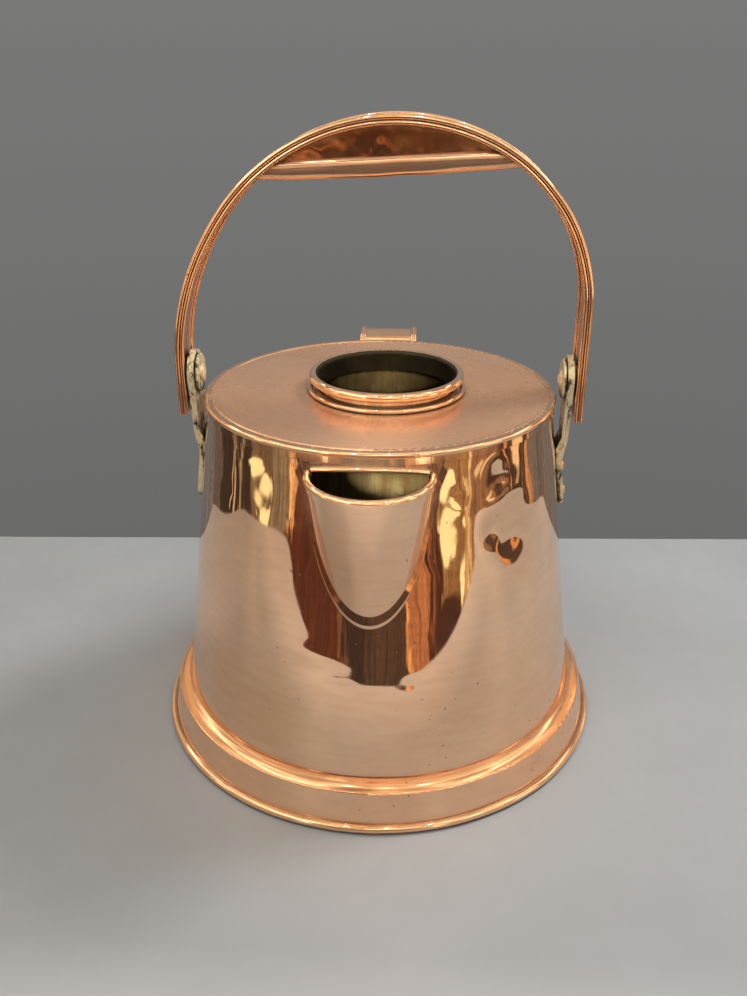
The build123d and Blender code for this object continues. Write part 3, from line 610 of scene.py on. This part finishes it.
for word in ("front", "back"):
    wavy(f"grip_plate_{word}", f"grip_web_{word}", web_field,
         LENGTHWAYS + level_planes(298 * MM, 320 * MM, STEP), (WEB,))
wavy("strap_back", "back_handle_strap", back_field, [], (STRAP,))
wavy("rivets_back", "back_handle_rivets", back_field, [], (RIVET, TIN), inside_back)

KEPT = {
    IRON: ("foot_wire", "rim_wire", "neck_wire", "spout_wire", "bail_wires", "back_handle_wires"),
    RIVET: ("lug_rivets_left", "lug_rivets_right"),
    BRASS: ("lug_left", "lug_right", "outer_washer_left", "outer_washer_right",
            "inner_washer_left", "inner_washer_right", "pivot_rivet_left", "pivot_rivet_right"),
}
for look, names in KEPT.items():
    for node in names:
        for slot in NODES[node].material_slots:
            slot.material = look


# ----------------------------------------------------------------------- stage
def add_mesh(name, points, faces, look):
    mesh = bpy.data.meshes.new(name)
    mesh.from_pydata(points, [], faces)
    mesh.materials.append(look)
    made = bpy.data.objects.new(name, mesh)
    bpy.context.scene.collection.objects.link(made)
    return made


def floor_look():
    made, t = new_material("pale_floor")
    place = t.place()
    cloud = t.noise(place, 5.0, 4.0, 0.55)
    grain = t.noise(place, 90.0, 4.0, 0.6)
    colour = t.blend(t.span(cloud, 0.35, 0.68), (0.388, 0.407, 0.420), (0.446, 0.466, 0.478))
    colour = t.blend(t.span(grain, 0.4, 0.7, 0.0, 0.10), colour, (0.34, 0.345, 0.345))
    # Painted light: the floor in front of the can, y below -0.19 m, is painted lighter, as a pool of
    # light.
    near = t.span(t.axes(place)[1], -0.19, -0.27)
    colour = t.blend(near, colour, (0.66, 0.66, 0.65))
    close(t, Base_Color=colour, Roughness=t.span(grain, 0.3, 0.7, 0.40, 0.52),
          Normal=t.bump(grain, 0.05 * MM))
    return made


TABLE_THICK = 0.03
TABLE_EDGE = (
    (-0.460, -0.395), (-0.390, -0.380), (-0.305, -0.342), (-0.200, -0.316), (-0.060, -0.300),
    (0.030, -0.281), (0.250, -0.278), (0.450, -0.288), (0.570, -0.285), (0.618, -0.160),
    (0.572, 0.020), (0.490, 0.145), (0.430, 0.2140), (0.330, 0.2091), (-0.290, 0.1789),
    (-0.390, 0.1740), (-0.473, 0.070),
    (-0.556, -0.048), (-0.573, -0.135), (-0.567, -0.219), (-0.543, -0.294), (-0.505, -0.359),
)


def rounded(outline, steps=6):
    """Closed smooth curve through the outline's points."""
    points = np.array(outline)
    before, after, later = (np.roll(points, shift, axis=0) for shift in (1, -1, -2))
    shares = np.arange(steps)[:, None, None] / steps
    curve = points + shares * (after - before) / 2
    curve = curve + shares ** 2 * (before - 2.5 * points + 2 * after - later / 2)
    curve = curve + shares ** 3 * (1.5 * points - before / 2 - 1.5 * after + later / 2)
    return curve.transpose(1, 0, 2).reshape(-1, 2).tolist()


def table():
    """A slab with a worn outline; its front edge shows in the wall's reflections."""
    outline = rounded(TABLE_EDGE)
    count = len(outline)
    points = [(x, y, 0) for x, y in outline] + [(x, y, -TABLE_THICK) for x, y in outline]
    faces = [tuple(range(count)), tuple(range(2 * count - 1, count - 1, -1))]
    faces += [(i, i + count, (i + 1) % count + count, (i + 1) % count) for i in range(count)]
    add_mesh("floor_top", points, faces, floor_look())


ROOM_BANDS = (            # degrees round the can from the lip's side, colour from there on
    (-180, (0.15, 0.15, 0.15)), (-124, (0.12, 0.10, 0.08)), (-112, (0.030, 0.020, 0.013)),
    (-99, (0.60, 0.48, 0.28)), (-97, (0.030, 0.020, 0.013)), (-90, (0.42, 0.32, 0.18)),
    (-88, (0.040, 0.024, 0.014)), (-80, (0.15, 0.10, 0.055)), (-66, (0.24, 0.20, 0.12)),
    (-51, (0.85, 0.50, 0.22)), (-48, (0.085, 0.022, 0.007)), (-19, (0.22, 0.10, 0.045)),
    (-16, (0.035, 0.020, 0.012)), (-3, (0.070, 0.042, 0.026)), (18, (0.85, 0.45, 0.16)),
    (21, (0.42, 0.18, 0.075)), (30, (0.065, 0.022, 0.009)), (33, (0.26, 0.10, 0.035)),
    (35, (0.060, 0.020, 0.009)), (38, (0.30, 0.165, 0.060)), (49, (0.42, 0.25, 0.095)),
    (54, (0.85, 0.64, 0.32)), (57, (0.30, 0.165, 0.080)), (80, (0.060, 0.030, 0.016)),
    (104, (0.55, 0.28, 0.12)), (108, (0.15, 0.14, 0.13)),
)
YELLOW = (1.35, 1.30, 0.72)
ROOM_LAMPS = (            # degrees, height, half width in degrees, half height, colour
    (-76, -0.078, 4.2, 0.030, YELLOW), (-70, -0.128, 4.2, 0.034, YELLOW),
    (-50, -0.23, 6.0, 0.10, (0.085, 0.022, 0.007)),
    (43, -0.035, 4.2, 0.040, YELLOW), (43.5, -0.120, 4.2, 0.036, YELLOW),
    (50.5, -0.205, 2.6, 0.048, YELLOW), (43, -0.29, 7.0, 0.07, (0.060, 0.020, 0.009)),
    (66, -0.05, 4.0, 0.016, (1.0, 0.75, 0.42)), (74, -0.075, 5.0, 0.012, (1.0, 0.75, 0.42)),
    (96, -0.035, 4.2, 0.090, (1.10, 0.82, 0.45)), (84, -0.215, 18.0, 0.095, (0.055, 0.022, 0.010)),
    (85, -0.05, 1.4, 0.11, (0.80, 0.36, 0.13)),
)
UNLIT = (0, 0, 0)
BARS = (                  # upright bright bars over the bands
    (-180, UNLIT), (-78, (1.9, 1.6, 1.05)), (-72, UNLIT), (-33, (2.2, 1.9, 1.3)), (-28, UNLIT),
    (26, (2.2, 1.9, 1.3)), (32, UNLIT), (66, (2.4, 2.2, 1.6)), (76, UNLIT),
    (118, (1.4, 1.0, 0.6)), (124, UNLIT),
)
STRIP_Z = 1.05            # height of the lit strip in the upper wall
STRIP = (4.4, 4.3, 3.4)


def bands(t, where, rows):
    """Colour that changes at each row's angle, in degrees."""
    return t.ramp(where, [((degrees + 180) / 360, tint) for degrees, tint in rows], "CONSTANT")


def glow(t, colour):
    light = t.node("ShaderNodeEmission", {"Color": colour, "Strength": 1.0})
    t.node("ShaderNodeOutputMaterial", {0: light}, output=None)


def room_look():
    """Warm room that only reflections see: bands low down, a bright wall above."""
    made, t = new_material("warm_room")
    place = t.place()
    x, y, z = t.axes(place)
    angle = t.math("DEGREES", t.math("ARCTAN2", x, t.math("MULTIPLY", y, -1.0)))
    wobble = t.noise(place, 5.0, 4.0, 0.6)
    lines = t.noise(t.stretched(place, (1.0, 1.0, 0.10)), 38.0, 3.0, 0.7)
    grain = t.noise(t.stretched(place, (1.0, 1.0, 3.0)), 45.0, 3.0, 0.7)
    soft = t.math("ADD", angle, t.span(wobble, 0.25, 0.75, -5.0, 5.0))
    bent = t.math("ADD", soft, t.span(lines, 0.30, 0.70, -2.5, 2.5))
    where = t.math("ADD", t.math("DIVIDE", bent, 360.0), 0.5)
    colour = bands(t, where, ROOM_BANDS)
    shade = t.math("MULTIPLY", t.span(grain, 0.30, 0.70, 0.55, 1.45),
                   t.span(lines, 0.35, 0.70, 0.65, 1.7))
    colour = t.blend(1.0, colour, t.grey(shade), "MULTIPLY")
    for degrees, height, half_angle, half_height, tint in ROOM_LAMPS:
        across = t.math("DIVIDE", t.math("SUBTRACT", soft, degrees), half_angle)
        up = t.math("DIVIDE", t.math("SUBTRACT", z, height), half_height)
        reach = t.square_sum(across, up)
        colour = t.blend(t.span(reach, 0.8, 1.2, 1.0, 0.0), colour, tint)
    blobs = t.noise(t.stretched(place, (1.0, 1.0, 1.6)), 7.0, 4.0, 0.6, 0.6)
    middle = t.ramp(blobs, [(0.40, (0.022, 0.010, 0.006)), (0.50, (0.10, 0.040, 0.016)),
                            (0.58, (0.42, 0.18, 0.065)), (0.66, (0.95, 0.55, 0.25))])
    bars = bands(t, where, BARS)
    middle = t.blend(1.0, middle, bars, "ADD")
    sides = t.span(t.math("ABSOLUTE", soft), 20.0, 26.0, 0.0, 0.7)
    middle = t.blend(sides, middle, t.blend(1.0, bars, (0.92, 0.60, 0.29), "ADD"))
    colour = t.blend(t.span(z, 0.05, 0.09), colour, middle)
    panes = t.noise(t.stretched(place, (1.0, 1.0, 0.8)), 1.9, 3.0, 0.55)
    upper = t.ramp(panes, [(0.40, (0.12, 0.055, 0.025)), (0.48, (0.42, 0.24, 0.10)),
                           (0.55, (0.85, 0.62, 0.32)), (0.58, (2.4, 2.3, 1.75))])
    gold = t.blend(t.span(grain, 0.35, 0.65), (0.80, 0.50, 0.23), (1.15, 0.86, 0.48))
    upper = t.blend(t.span(z, 0.62, 0.80, 0.85, 0.0), upper, gold)
    strip = t.span(t.math("ABSOLUTE", t.math("SUBTRACT", z, STRIP_Z)), 0.06, 0.085, 1.0, 0.0)
    upper = t.blend(t.math("MULTIPLY", strip, t.span(wobble, 0.40, 0.46)), upper, STRIP)
    colour = t.blend(t.span(z, 0.31, 0.37), colour, upper)
    glow(t, colour)
    return made


def ceiling_look():
    """Warm pale ceiling for the reflections in what faces upwards."""
    made, t = new_material("warm_ceiling")
    cloud = t.noise(t.place(), 1.6, 2.0, 0.5)
    beams = t.noise(t.stretched(t.place(), (0.3, 3.0, 1.0)), 2.4, 2.0, 0.5)
    colour = t.blend(t.span(cloud, 0.42, 0.58), (1.70, 1.55, 1.05), (0.62, 0.42, 0.21))
    colour = t.blend(t.span(beams, 0.50, 0.60, 0.0, 0.8), colour, (0.22, 0.12, 0.055))
    glow(t, colour)
    return made


def only_reflected(card):
    card.visible_camera = False
    card.visible_diffuse = False
    card.visible_shadow = False
    card.visible_transmission = False
    card.visible_volume_scatter = False


ROOM_R = 1.15
ROOM_LOW, ROOM_HIGH = -1.3, 1.85
ROOM_HALF = math.radians(140)
ROOM_FACES = 48
CEILING_X, CEILING_Z = 1.6, 1.9                      # half width and height
CEILING_FRONT, CEILING_BACK = -1.8, 0.9


def room():
    """Part of a drum round the can, open behind it, and a ceiling."""
    points = []
    for i in range(ROOM_FACES + 1):
        angle = -ROOM_HALF + 2 * ROOM_HALF * i / ROOM_FACES
        for z in (ROOM_LOW, ROOM_HIGH):
            points.append((ROOM_R * math.sin(angle), -ROOM_R * math.cos(angle), z))
    faces = [(i, i + 1, i + 3, i + 2) for i in range(0, 2 * ROOM_FACES, 2)]
    only_reflected(add_mesh("room_card", points, faces, room_look()))
    corners = [(-CEILING_X, CEILING_FRONT, CEILING_Z), (CEILING_X, CEILING_FRONT, CEILING_Z),
               (CEILING_X, CEILING_BACK, CEILING_Z), (-CEILING_X, CEILING_BACK, CEILING_Z)]
    only_reflected(add_mesh("ceiling_card", corners, [(0, 1, 2, 3)], ceiling_look()))


SOFT_LIGHT = (1.0, 0.99, 0.985)
WARM_LIGHT = (1.0, 0.86, 0.66)


def add_light(name, lamp, place, target, power, colour):
    lamp.energy = power
    lamp.color = colour
    made = bpy.data.objects.new(name, lamp)
    made.location = place
    made.rotation_euler = (Vector(place) - Vector(target)).to_track_quat("Z", "Y").to_euler()
    bpy.context.scene.collection.objects.link(made)
    return made


def area_light(name, place, target, size, power, colour):
    lamp = bpy.data.lights.new(name, "AREA")
    lamp.shape = "DISK"
    lamp.size = size
    return add_light(name, lamp, place, target, power, colour)


def narrow_light(name, place, target, half_angle, power):
    """Thin beam that reaches into an opening."""
    lamp = bpy.data.lights.new(name, "SPOT")
    lamp.spot_size = 2 * math.radians(half_angle)
    lamp.spot_blend = 0.6
    lamp.shadow_soft_size = 0.02
    add_light(name, lamp, place, target, power, WARM_LIGHT).visible_glossy = False


def world():
    """Grey surroundings, darker low down."""
    made = bpy.data.worlds.new("studio")
    made.use_nodes = True
    t = Tree(made.node_tree)
    height = t.axes(t.node("ShaderNodeTexCoord", output="Generated"))[2]
    colour = t.ramp(t.span(height, -1, 1), [
        (0.25, (0.14, 0.14, 0.138)), (0.50, (0.185, 0.186, 0.183)), (0.80, (0.30, 0.29, 0.28))])
    sky = t.node("ShaderNodeBackground", {"Color": colour, "Strength": 1.0})
    t.node("ShaderNodeOutputWorld", {0: sky}, output=None)
    bpy.context.scene.world = made


table()
room()
world()
for name, place, target_z, size, power in (
        ("key_soft", (0.75, 0.35, 1.15), 0.05, 0.40, 9.0),
        ("top_soft", (-0.1, -0.35, 1.35), 0.10, 1.1, 5.6)):
    area_light(name, place, (0, 0, target_z), size, power, SOFT_LIGHT).visible_glossy = False
for name, x, y in (("spot_one", -0.22, -0.60), ("spot_two", 0.12, -0.70), ("spot_three", 0.42, -0.50)):
    area_light(name, (x, y, 1.30), (0, 0, 0.1), 0.03, 0.45, WARM_LIGHT)
narrow_light("beam_neck", (0.06, -0.90, 0.50), (NECK.x, NECK.y, NECK_BOX[1].z + 2 * MM), 1.2, 60)
narrow_light("beam_mouth", (-0.02, -0.90, 0.53), (0, -0.100, 0.176), 1.7, 120)


# ---------------------------------------------------------------------- camera
LOOK_DOWN = math.radians(25.11)
LOOK_LEFT = math.radians(3.2)
lens = bpy.data.cameras.new("view")
lens.lens = 34.95
lens.sensor_width = 36.0
camera = bpy.data.objects.new("view", lens)
camera.location = (0.02355, -0.48146, 0.351)
camera.rotation_euler = (math.pi / 2 - LOOK_DOWN, 0, LOOK_LEFT)
bpy.context.scene.collection.objects.link(camera)
bpy.context.scene.camera = camera
bpy.context.scene.view_settings.view_transform = "Standard"
